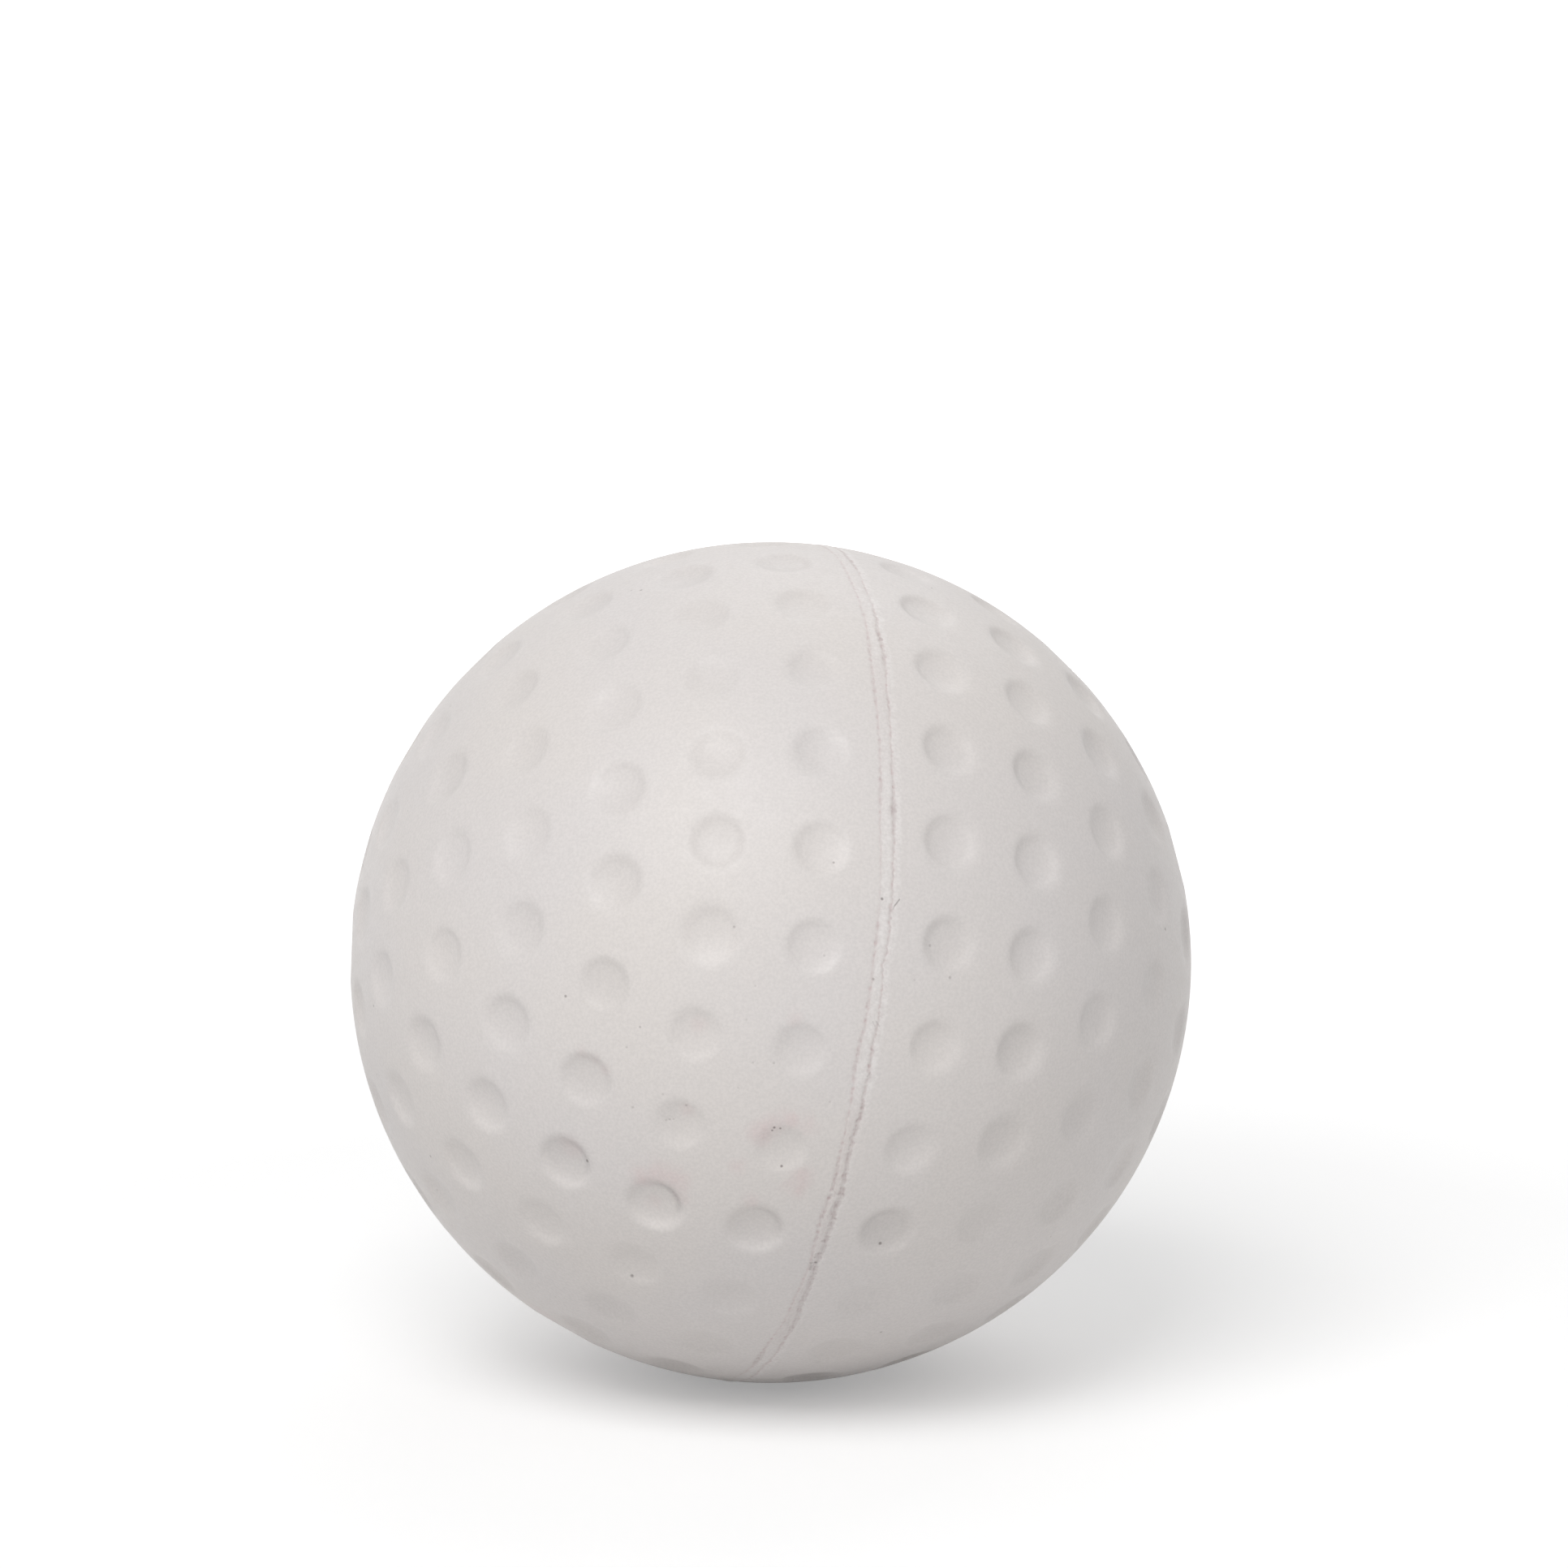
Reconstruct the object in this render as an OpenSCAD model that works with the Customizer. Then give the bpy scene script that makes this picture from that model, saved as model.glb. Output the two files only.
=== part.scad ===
/* [Ball] */
// Diameter of the ball over the plain surface between its dimples
ball_d = 73; // [71.3:0.1:74.8]

/* [Dimples] */
// Diameter of a dimple where its rounded rim meets the ball's surface
dimple_d = 5.7; // [4.4:0.1:6.8]
// Depth of a dimple at its middle, below the ball's surface
dimple_depth = 0.55; // [0.4:0.05:0.8]
// Radius of the rounding along a dimple's rim
rim_r = 1.6; // [1:0.1:2.2]
// Distance from the middle of the seam to the dimple centres of the first row, along the surface
first_row = 5.65; // [4.5:0.05:8]
// Distance from one row of dimples to the next, along the surface
row_pitch = 8.7; // [7.5:0.1:11]
// Spacing of the dimples round the first row, which the second row repeats in line
paired_pitch = 8.7; // [8:0.1:12]
// Spacing of the dimples round each of the other rows
polar_pitch = 8.4; // [7.5:0.1:12]

/* [Seam] */
// Width of the trimmed band, between the middles of the two cuts that edge it
band_w = 1.1; // [0.8:0.1:2]
// Height of the trimmed band above the ball's surface
band_h = 0.05; // [0.02:0.01:0.15]
// Width of the fine cut along each edge of the band
cut_w = 0.2; // [0.1:0.05:0.4]

/* [Pose] */
// Angle of the mould axis about the vertical, from the part's own X axis
axis_turn = 12.8; // [-90:0.1:90]
// Angle by which the mould axis dips below the horizontal
axis_dip = 9.2; // [-90:0.1:90]
// Angle round the mould axis at which the rows of the upper half start
row_start = -64.1; // [-180:0.1:180]
// Angle by which the two halves slipped against each other in the mould
half_slip = 2.5; // [-10:0.1:10]

/* [Hidden] */

// Facets of the round shapes, which are true curves in the finished solid
ball_facets = 180;
bowl_facets = 128;
rim_facets = 64;
dimple_facets = 32;
cut_facets = 16;

// How far a cutter stands proud of the ball, and how far the band reaches into it
cutter_margin = 1;
band_root = 1;
// The rim's rounding stands this much proud of the ball, so that the two cross and don't just graze
rim_lift = 0.006;
// The rows of each half that stand in line, counted from the seam
paired_rows = 2;
// The fewest dimples that still make a row
row_least = 3;
// The share of the row pitch that a polar dimple needs between it and the last row
polar_room = 0.85;

ball_r = ball_d / 2;

// Angle at the ball's centre that a distance along its surface spans
function surface_angle(distance) = distance / ball_r * 180 / PI;

// Rows are counted from the seam towards the pole, from 0
function row_angle(row) = surface_angle(first_row + row * row_pitch);
function row_circle(row) = 2 * PI * ball_r * cos(row_angle(row));
function row_count(row) =
    row < paired_rows ? round(row_circle(0) / paired_pitch) : round(row_circle(row) / polar_pitch);

rows_that_fit = ceil((90 - surface_angle(first_row)) / surface_angle(row_pitch));
rows = [for (row = [0 : rows_that_fit - 1]) if (row_count(row) >= row_least) row];
last_row_gap = 90 - row_angle(rows[len(rows) - 1]);
has_polar_dimple = last_row_gap >= polar_room * surface_angle(row_pitch);

// A dimple's section: a round bowl, and a rounded rim that touches it.
// The origin is the ball's centre, and the dimple opens upwards.
rim_reach = ball_r + rim_lift - rim_r;
rim_angle = asin(dimple_d / 2 / ball_r);
rim_x = rim_reach * sin(rim_angle);
rim_y = rim_reach * cos(rim_angle);
bowl_floor = ball_r - dimple_depth;
rim_drop = bowl_floor - rim_y;
bowl_r = (rim_x ^ 2 + rim_drop ^ 2 - rim_r ^ 2) / (2 * (rim_r - rim_drop));
bowl_y = bowl_floor + bowl_r;
touch_share = bowl_r / (bowl_r + rim_r);
touch_x = touch_share * rim_x;
touch_y = bowl_y + touch_share * (rim_y - bowl_y);
top_y = ball_r + cutter_margin;

module dimple_section() {
    intersection() {
        translate([0, bowl_floor - cutter_margin])
            square([dimple_d, dimple_depth + 2 * cutter_margin]);
        union() {
            translate([0, bowl_y])
                circle(bowl_r, $fn = bowl_facets);
            difference() {
                polygon([
                    [0, touch_y], [touch_x, touch_y], [rim_x, rim_y],
                    [top_y * sin(rim_angle), top_y * cos(rim_angle)], [0, top_y]
                ]);
                translate([rim_x, rim_y])
                    circle(rim_r, $fn = rim_facets);
            }
        }
    }
}

module dimple_cutter() {
    rotate_extrude($fn = dimple_facets)
        dimple_section();
}

// Puts a cutter at an angle round the mould axis and an angle up from the seam
module place(around, up) {
    rotate([0, 90 - up, around])
        children();
}

// The dimples of one half, on the side of the seam that side gives as 1 or -1
module half_dimples(side, start) {
    for (row = rows)
        for (step = [0 : row_count(row) - 1])
            place(start + step * 360 / row_count(row), side * row_angle(row))
                dimple_cutter();
    if (has_polar_dimple)
        place(start, side * 90)
            dimple_cutter();
}

// The band that is left where the moulding flash was trimmed off
module seam_band() {
    rotate_extrude($fn = ball_facets)
        intersection() {
            circle(ball_r + band_h, $fn = ball_facets);
            translate([ball_r - band_root, -band_w / 2])
                square([band_root + cutter_margin, band_w]);
        }
}

// The fine cut along one edge of the band
module edge_cut(side) {
    rotate_extrude($fn = ball_facets)
        translate([ball_r, side * band_w / 2])
            circle(d = cut_w, $fn = cut_facets);
}

module ball() {
    color([0.86, 0.84, 0.82])
        rotate([0, 90 + axis_dip, axis_turn])
            difference() {
                union() {
                    sphere(ball_r, $fn = ball_facets);
                    seam_band();
                }
                edge_cut(1);
                edge_cut(-1);
                half_dimples(1, row_start);
                half_dimples(-1, row_start + half_slip);
            }
}

ball();
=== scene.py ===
import math

import bpy
import numpy as np
from mathutils import Euler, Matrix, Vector
from mathutils.geometry import delaunay_2d_cdt


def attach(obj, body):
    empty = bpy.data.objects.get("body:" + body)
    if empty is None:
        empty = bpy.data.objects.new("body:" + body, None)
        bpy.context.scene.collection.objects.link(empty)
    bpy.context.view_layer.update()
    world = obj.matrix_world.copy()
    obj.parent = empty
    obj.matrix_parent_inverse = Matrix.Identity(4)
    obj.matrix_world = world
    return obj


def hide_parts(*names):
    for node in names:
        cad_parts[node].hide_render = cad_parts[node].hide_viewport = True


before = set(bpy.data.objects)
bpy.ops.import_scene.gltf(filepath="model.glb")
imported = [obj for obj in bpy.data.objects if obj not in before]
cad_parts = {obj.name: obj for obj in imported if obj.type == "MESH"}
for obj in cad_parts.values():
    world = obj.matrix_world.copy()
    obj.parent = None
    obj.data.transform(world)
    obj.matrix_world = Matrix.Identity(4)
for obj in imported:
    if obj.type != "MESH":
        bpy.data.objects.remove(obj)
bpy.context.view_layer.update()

MM = 0.001
SEED = 73

# Camera. Pixel values are in the photograph's own frame, which is this many pixels wide and high.
FRAME_PX = 1932
LENS_MM = 247.27
SENSOR_MM = 36.0
CAMERA_DIP = math.radians(11.4)
BALL_MIDDLE_PX = (949, 1185)
BALL_DISTANCE_MM = 935.06
# The nearest and the farthest thing that the camera shows, in metres
CLIP_RANGE = (0.01, 20)
# How many times a pixel's place is worked out again on the surface found there
SIGHT_ROUNDS = 4

# Ball, in millimetres, with the CAD model's rows and pose. The mould axis is Z until the pose turns it.
BALL_R = 36.5
AXIS_TURN = math.radians(12.8)
AXIS_DIP = math.radians(9.2)
FIRST_ROW = 5.65
ROW_PITCH = 8.7
ROW_COUNTS = (26, 26, 22, 18, 12, 6)
ROW_START = math.radians(-64.1)
HALF_SLIP = math.radians(2.5)
# A dimple has a shallow floor, and a corner where the floor turns up into the wall
DIMPLE_DEPTH = 0.54
FLOOR_R = 9.0
FLOOR_D = 3.3
CORNER_R = 1.5
BAND_W = 1.1
BAND_H = 0.045

# Mesh density: radius in millimetres and number of points of the rings in a dimple, then its rim's rings
RING_POINTS = ((0.0, 1), (0.6, 7), (1.1, 13), (1.5, 20))
RIM_RINGS = (1.78, 1.96, 2.13, 2.3, 2.48, 2.68, 2.93, 3.3)
RIM_POINTS = 28
SEAM_STEP = 0.2
SEAM_FINE_STEP = 0.1
STRIP_REACH = 1.7
# Rows beside the strip: distance from the seam's middle, and how many times thinner than the strip
GRADED_ROWS = ((1.98, 2), (2.38, 4))
GRADED_FROM_RIM = 0.2
LAND_PITCH = 1.15
# The area that each point of an even grid has, as a share of its pitch squared
LAND_CELL = 0.866
LAND_FROM_DIMPLE = 3.7
LAND_FROM_SEAM = 2.85
LAND_FROM_SPECK = 0.32
# Points closer than this merge, on the flat map that is cut into triangles
MERGE_WITHIN = 1e-7

# Each dimple strays a little from the nominal one, and its rim is crisper towards the seam
DEPTH_SPREAD = 0.1
RIM_R_RANGE = (1.4, 2.0)
RIM_R_LEAST = 0.35
SEAMWARD_CRISPNESS = 0.62
# Painted shade over each dimple's bowl: the seeded amount, and the distances over which it fades out
BOWL_SHADE_RANGE = (0.0, 0.04)
BOWL_SHADE_REACH = (1.9, 2.9)
# Painted shade along a dimple's upper edge: distance from the middle, width, how sharply it keeps to one
# side, and how strongly that side leans from upwards to the seam
EDGE_SHADE_PLACE = 1.95
EDGE_SHADE_WIDTH = 0.25
EDGE_SHADE_FOCUS = 1.5
SEAMWARD_SHADE = 1.1
# The dimples read off the photograph: middle in pixels, rim radius and depth in millimetres,
# painted shade over the bowl, and painted shade along the upper edge
READ_DIMPLES = (
    (1012, 1044, 0.6, 0.5, 0.0, 0.0),
    (1003, 1166, 0.6, 0.51, 0.008, 0.0),
    (986, 1293, 1.7, 0.44, 0.02, 0.01),
    (963, 1416, 1.8, 0.38, 0.015, 0.0),
    (931, 1515, 0.6, 0.72, 0.012, 0.13),
    (875.5, 1151.5, 1.8, 0.62, 0.0, 0.0),
    (856, 1274, 1.7, 0.46, 0.018, 0.0),
    (837, 1386, 1.9, 0.4, 0.025, 0.0),
    (807, 1485, 0.5, 0.74, 0.0, 0.28),
    (743.5, 1212, 0.7, 0.46, 0.055, 0.01),
    (720.5, 1330, 0.75, 0.54, 0.05, 0.02),
    (696, 1432, 0.6, 0.66, 0.05, 0.12),
    (1169, 1163, 1.5, 0.54, 0.04, 0.0),
    (1152, 1290, 1.9, 0.45, 0.005, 0.0),
    (1121, 1416, 2.1, 0.42, 0.0, 0.0),
    (1093, 1518, 0.55, 0.68, 0.06, 0.1),
)

# Faint waves that the moulding leaves in the surface: lengths and height in millimetres
WAVE_LENGTHS = (7.0, 24.0)
WAVE_COUNT = 14
WAVE_HEIGHT = 0.02
# Where the summed waves are cut off, before they are brought to that height
WAVE_LIMIT = 2

# The two cuts beside the seam band: x, y in pixels and how strongly the cut shows there
LEFT_CUT_PX = (
    (1084, 1090, 0.2), (1083, 1118, 0.2), (1082, 1123, 0.7), (1081, 1140, 0.78), (1078, 1165, 0.82),
    (1075, 1190, 0.68), (1074, 1205, 0.7), (1071, 1225, 0.83), (1069, 1240, 0.85), (1066, 1258, 0.8),
    (1062, 1276, 0.88), (1057, 1292, 0.92), (1054, 1310, 0.96), (1052, 1322, 0.9), (1051, 1335, 0.65),
    (1050, 1347, 0.75), (1047, 1365, 0.68), (1043, 1380, 0.55), (1041, 1395, 0.45), (1037, 1410, 0.7),
    (1034, 1422, 0.8), (1032, 1436, 0.92), (1029, 1450, 0.95), (1026, 1462, 0.9), (1022, 1474, 1.0),
    (1016, 1488, 1.05), (1011, 1502, 0.97), (1007, 1518, 0.92), (1003, 1533, 0.88), (998, 1556, 0.75),
    (986, 1585, 0.7), (976, 1605, 0.7), (970, 1620, 0.7),
)
RIGHT_CUT_PX = (
    (1099, 1092, 0.55), (1099, 1112, 0.55), (1097, 1120, 0.92), (1096, 1135, 0.72), (1095, 1150, 0.5),
    (1093, 1165, 0.5), (1092, 1177, 0.6), (1087, 1187, 0.55), (1086, 1200, 0.4), (1087, 1212, 0.36),
    (1086, 1228, 0.5), (1083, 1243, 0.48), (1081, 1262, 0.55), (1078, 1276, 0.6), (1074, 1292, 0.82),
    (1071, 1312, 0.8), (1071, 1325, 0.78), (1066, 1340, 0.74), (1063, 1355, 0.92), (1060, 1372, 1.0),
    (1055, 1390, 1.12), (1049, 1405, 1.1), (1046, 1420, 1.08), (1044, 1432, 1.1), (1040, 1450, 1.1),
    (1037, 1465, 1.14), (1035, 1475, 1.25), (1029, 1488, 1.28), (1025, 1498, 1.25), (1024, 1508, 1.22),
    (1018, 1525, 1.22), (1013, 1540, 1.25), (1004, 1556, 1.3), (1000, 1575, 1.2), (992, 1595, 1.2),
    (985, 1610, 1.2), (981, 1625, 1.2),
)
# Bites in the cuts: x, y and radius in pixels
LEFT_BITES_PX = (
    (1069, 1236, 1.2), (1055, 1308, 1.2), (1050, 1347, 1.4), (1033, 1436, 2.4), (1029, 1447, 2),
    (1028, 1452, 2), (1027, 1457, 1.4), (1012, 1500, 2.4),
)
RIGHT_BITES_PX = (
    (1097, 1122, 1.4), (1096, 1130, 1.4), (1094, 1174, 2), (1089, 1183, 1.8), (1086, 1196, 1.5),
    (1087, 1205, 1.3), (1086, 1214, 1.5), (1085, 1228, 1.6), (1081, 1262, 1.8), (1079, 1274, 1.2),
    (1074, 1293, 1.8), (1073, 1305, 1.2), (1072, 1313, 2), (1070, 1323, 1.6), (1063, 1358, 1.4),
    (1062.5, 1364, 2.4), (1059.5, 1371, 1.6), (1058.5, 1379, 3), (1056, 1388, 1.6), (1044, 1420, 2),
    (1040, 1450, 2), (1035, 1471, 2.4), (1026, 1496, 3), (1025, 1500, 2.4),
)
# Seeded bites where the photograph doesn't show the seam: how many, and their radius in millimetres
LEFT_SEEDED_BITES = 12
RIGHT_SEEDED_BITES = 60
SEEDED_BITE_R = (0.08, 0.22)
# The seam turns from read to seeded over this angle
READ_FADE = math.radians(9)

# Seeded waviness round the seam: shortest and longest wave in millimetres, how many, and their height
DRIFT_WAVES = (6, 60, 6, 0.08)
STRENGTH_WAVES = (3, 30, 8, 0.25)
FLUTTER_WAVES = (0.3, 2, 40, 0.5)
FRESH_WAVES = (15, 80, 6, 0.3)
# The same where the height is given apart
RAGGED_WAVES = (0.7, 4, 24)
FINE_RAGGED_WAVES = (0.3, 0.8, 30)
ROUGH_WAVES = (0.4, 3, 24)
LEFT_RAGGED = 0.035
RIGHT_RAGGED = 0.06
FINE_RAGGED_SHARE = 0.45
BAND_ROUGHNESS = 0.01
SCRAPE_ROUGHNESS = 0.04
FLUTTER_RANGE = (0.2, 2.2)

# The seam lies this far to the lower side of the plane between the two halves
SEAM_SHIFT = 0.08
# How strongly a cut shows, where it is seeded and at the least and the most
SEEDED_STRENGTH = 0.75
STRENGTH_RANGE = (0.1, 1.3)
# A cut's sizes at a strength of 1, in millimetres
CUT_DEPTH = 0.035
CUT_DEPTH_RANGE = (0.003, 0.14)
HALF_WIDTH = 0.17
# The shares of the half width that are steady, that flutter, and that come with the strength
HALF_WIDTH_SHARES = (0.3, 0.15, 0.65)
# How far a bite reaches along the cut, into it and to each side, as shares of its radius
BITE_LENGTH = 0.8
BITE_DEPTH = 0.1
BITE_WIDTH = 0.12
# How a cut's strength and its bites colour it: a pink line, and grime in the stronger stretches
LINE_TINT = 0.4
LINE_FADE = 1.4
LINE_TINT_MOST = 0.7
BITE_TINT = 0.6
GRIME_FROM = 0.75
GRIME_RISE = 0.36
GRIME_MOST = 0.45
CALM_SHARE = 0.4
BITE_GRIME = 0.9

# The section of a cut: place across it in half widths, shares of the heights before it and after it,
# and shares of its depth, of its line, of the bare plastic after it and of its grime
CUT_SECTION = (
    (-1.25, 1, 0, 0.1, 0.2, 0, 0),
    (-0.6, 0.4, 0, 0.65, 0.75, 0, 0.7),
    (0, 0, 0, 1, 1, 0, 1),
    (0.6, 0, 1, 0.8, 0.75, 0, 0.7),
    (1.25, 0, 1, 0.45, 0.2, 1, 0),
)
# The section of the band between the cuts: place across it as a share, shares of the band's height
# and of its right edge's, and share of the fresh colour
BAND_SECTION = ((0.3, 0.15, 0, 0.65), (0.55, 0.15, 0.35, 0.65), (0.8, 0, 0.9, 0.5))
# The band's right edge rises with the right cut's strength, between these shares of the band's height
EDGE_RISE = 1.5
EDGE_DROP = 0.5
EDGE_RANGE = (0.2, 1)
# A low lip runs beside the cuts, this far from the left one
CUT_LIP = 0.15
LIP_HEIGHT = 0.002

# The plastic is fresh and white down to the first place, and dull from the second
FRESH_FADE_PX = ((1060, 1330), (1060, 1395))
SEEDED_FRESHNESS = 0.6
DULL_SHARE = 0.05
# Beyond the right cut, the trimming has scraped a strip, which ends this far from the cut and then fades
SCRAPE_W = 0.55
SCRAPE_FADE = 0.25
# How bare the plastic is after each cut and at the end of the scraped strip, and what freshness adds
LEFT_BARE = 0.35
RIGHT_BARE = 0.45
SCRAPE_BARE = 0.15
SCRAPE_FRESH = 0.4

# Scratches and dots beside the seam: both ends in pixels, half the width in pixels, and how dark
SCRATCHES_PX = (
    (1100, 1119.5, 1101.5, 1116.5, 1.3, 0.35),
    (1101.5, 1116, 1107.8, 1107.8, 1.4, 0.62),
    (997.5, 1556, 1003, 1555.6, 1.5, 0.38),
    (1004.2, 1555.3, 1004.8, 1555.6, 2.6, 0.95),
    (1086.1, 1106.8, 1086.4, 1107.2, 2.4, 0.9),
    (1075.4, 1205.8, 1075.7, 1206.2, 2.2, 0.65),
    (1075, 1258.5, 1077.5, 1264, 1.5, 0.22),
    (1079.5, 1258.5, 1083, 1264, 1.6, 0.26),
    (1068.5, 1326, 1072, 1320.5, 1.6, 0.26),
    (1060, 1366.5, 1065, 1361.5, 1.8, 0.2),
    (1024.6, 1458, 1025.2, 1465, 1.3, 0.16),
    (1025.2, 1465, 1031, 1471, 1.3, 0.16),
)

# Specks: x, y and radius in pixels, and how dark
SPECKS_PX = (
    (904, 1141.5, 1.4, 0.45), (788, 1265, 1.2, 0.48), (696, 1227, 1.5, 0.8), (845, 1361.5, 1.4, 0.42),
    (953.5, 1389, 1.4, 1.0), (961, 1390, 1.3, 0.85), (951, 1392.5, 1.1, 0.9), (962.5, 1436.5, 1.4, 1.0),
    (1084, 1531.5, 1.8, 0.95), (930, 1214, 1.4, 0.18), (953, 1309.5, 1.3, 0.28), (927, 1309, 1.2, 0.2),
    (909, 1340, 1.2, 0.18), (1022, 1357.5, 1.4, 0.26), (820, 1380, 1.2, 0.3), (824.5, 1379, 1.2, 0.36),
    (829, 1378.5, 1.1, 0.26), (816, 1348, 1.4, 0.24), (779, 1364, 1.6, 0.32), (771.5, 1290, 1.2, 0.3),
    (1170, 1204, 1.6, 0.48), (1126.5, 1207, 1.3, 0.19), (1015, 1177, 1.3, 0.28), (919, 1256, 1.3, 0.18),
    (778, 1572, 1.9, 0.8), (723, 1430, 1.8, 0.9), (1145.5, 1164.5, 1.6, 0.45),
    (1026.7, 1062.2, 1.3, 0.6),
)
SPECK_DEPTH = 0.02
# The rings of a speck: radius in speck radii, number of points, and share of its depth and darkness
SPECK_RINGS = ((0.0, 1, 1.0), (0.8, 6, 0.7), (1.6, 9, 0.0))
SPECK_FROM_STRIP = 0.5
SPECK_SPACING = 0.2
# Seeded specks lie only where a place faces the camera by less than this cosine
SEEDED_SPECKS_FACING = 0.45
SEEDED_SPECKS = 150
SEEDED_SPECK_R = (0.06, 0.12)
SEEDED_SPECK_DARK = (0.2, 0.8)
SEEDED_DARK_POWER = 1.5

# Pink stains: x, y and radius in pixels, and how strong
STAINS_PX = (
    (938, 1396, 20, 1.0), (954, 1385, 16, 0.9), (975, 1379, 14, 0.85), (995, 1389, 12, 0.7),
    (910, 1435, 11, 0.7), (978, 1462, 15, 0.9), (988, 1450, 16, 0.95), (926, 1480, 12, 0.45),
    (792, 1450, 20, 0.9), (812, 1446, 21, 1.0), (834, 1453, 20, 1.0), (837, 1476, 14, 0.7),
    (802, 1486, 12, 0.5), (860, 1262, 13, 0.45), (979, 1255, 11, 0.5), (845, 1368, 11, 0.5),
    (716, 1298, 9, 0.4), (731, 1305, 9, 0.45), (744, 1318, 9, 0.45), (700, 1415, 20, 0.5),
)
# A stain fades out between these shares of its radius
STAIN_EDGE = (0.35, 1.2)
# Seeded stains lie only where a place faces the camera by less than this cosine
SEEDED_STAINS_FACING = 0.5
SEEDED_STAINS = 16
SEEDED_STAIN_R = (1.5, 4)
SEEDED_STAIN_AMOUNT = (0.2, 0.7)

# Plastic: the sizes of its patterns in millimetres
CLOUD_MM = 18
STAIN_PATCH_MM = 1.2
FRESH_PATCH_MM = 0.5
STREAK_MM = 0.45
GRAIN_MM = 0.25
SHEEN_MM = 0.9
PEEL_MM = 1.4
PORE_MM = 0.3
# How much longer than wide the streaks along the seam are
STREAK_STRETCH = 2.5
# How strongly each layer tints, from the least to the most that its pattern gives
STAIN_SHARES = (0.3, 0.65)
FRESH_SHARES = (0.1, 1.1)
LINE_SHARES = (0.45, 1.65)
SEAM_GRIME_SHARES = (0.5, 1.5)
SPECK_TINT = 0.85
GRAIN_VALUES = (0.965, 1.035)
PLASTIC_IOR = 1.47
ROUGHNESS_RANGE = (0.44, 0.54)
GRIME_ROUGHNESS = 0.3
PEEL_SHARE = 0.7
RELIEF_DEPTH = 0.012

# Floor and surroundings, in metres
FLOOR_REACH = 4.0
FLOOR_COLOUR = (0.82, 0.82, 0.82, 1)
# The floor's glow where it is seen directly, and what is added to it between these distances from its middle
FLOOR_LIFT = 0.3
WHITE_LIFT = 0.6
WHITE_FROM = (0.1, 0.45)
# Strength of the even light from all round
AMBIENT = 0.43


def turn_y(angle):
    c, s = math.cos(angle), math.sin(angle)
    return np.array([[c, 0, s], [0, 1, 0], [-s, 0, c]])


def turn_z(angle):
    c, s = math.cos(angle), math.sin(angle)
    return np.array([[c, -s, 0], [s, c, 0], [0, 0, 1]])


# Turns the mould's own frame into the part's frame
POSE = turn_z(AXIS_TURN) @ turn_y(math.pi / 2 + AXIS_DIP)

# The camera's axes in the part's frame
RIGHT = np.array([1.0, 0, 0])
DOWN = np.array([0, -math.sin(CAMERA_DIP), -math.cos(CAMERA_DIP)])
FORWARD = np.array([0, math.cos(CAMERA_DIP), -math.sin(CAMERA_DIP)])
FOCAL_PX = LENS_MM / SENSOR_MM * FRAME_PX


def sight(x, y):
    """Direction through the middle of a pixel, one unit deep."""
    middle = (FRAME_PX - 1) / 2
    return (x - middle) / FOCAL_PX * RIGHT + (y - middle) / FOCAL_PX * DOWN + FORWARD


CAMERA_MM = -BALL_DISTANCE_MM * sight(*BALL_MIDDLE_PX)
PX_PER_MM = FOCAL_PX / BALL_DISTANCE_MM
# The ways up in the picture and towards the camera, in the mould's frame
UP_IN_VIEW = POSE.T @ -DOWN
TO_CAMERA = POSE.T @ -FORWARD


def mould_direction(x, y, radius=BALL_R):
    """Unit vector in the mould's frame of the place under a pixel, on a sphere round the ball's centre."""
    ray = sight(x, y)
    ray /= np.linalg.norm(ray)
    along = CAMERA_MM @ ray
    room = along**2 - CAMERA_MM @ CAMERA_MM + radius**2
    point = CAMERA_MM + (-along - math.sqrt(max(room, 0))) * ray
    return POSE.T @ (point / np.linalg.norm(point))


def under_pixel(x, y, dimples):
    """Unit vector in the mould's frame of the dimpled surface under a pixel."""
    direction = mould_direction(x, y)
    for _ in range(SIGHT_ROUNDS):
        direction = mould_direction(x, y, dimples.radii(direction[None])[0])
    return direction


def seam_place(x, y):
    """Angle round the mould axis, and distance from the seam's middle, under a pixel."""
    u = mould_direction(x, y)
    return math.atan2(u[1], u[0]), math.asin(u[2]) * BALL_R


def seam_stretch():
    """Angles round the mould axis between which the photograph shows the seam."""
    return seam_place(*RIGHT_CUT_PX[0][:2])[0], seam_place(*RIGHT_CUT_PX[-1][:2])[0]


def make_camera():
    data = bpy.data.cameras.new("view")
    data.lens = LENS_MM
    data.sensor_width = SENSOR_MM
    data.clip_start, data.clip_end = CLIP_RANGE
    camera = bpy.data.objects.new("view", data)
    camera.location = Vector(CAMERA_MM * MM)
    camera.rotation_euler = Euler((math.pi / 2 - CAMERA_DIP, 0, 0))
    bpy.context.scene.collection.objects.link(camera)
    bpy.context.scene.camera = camera


def unit(vectors):
    return vectors / np.linalg.norm(vectors, axis=-1, keepdims=True)


def smooth_step(values, low, high):
    share = np.clip((values - low) / (high - low), 0, 1)
    return share * share * (3 - 2 * share)


def surface_direction(angle, offset):
    """Unit vectors at an angle round the mould axis and a distance from the seam's middle."""
    up = np.asarray(offset) / BALL_R
    return np.stack([np.cos(up) * np.cos(angle), np.cos(up) * np.sin(angle), np.sin(up)], axis=-1)


def arc_lengths(directions, middle):
    """Distances in millimetres along the ball's surface from a middle."""
    return np.arccos(np.clip(directions @ middle, -1, 1)) * BALL_R


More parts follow.
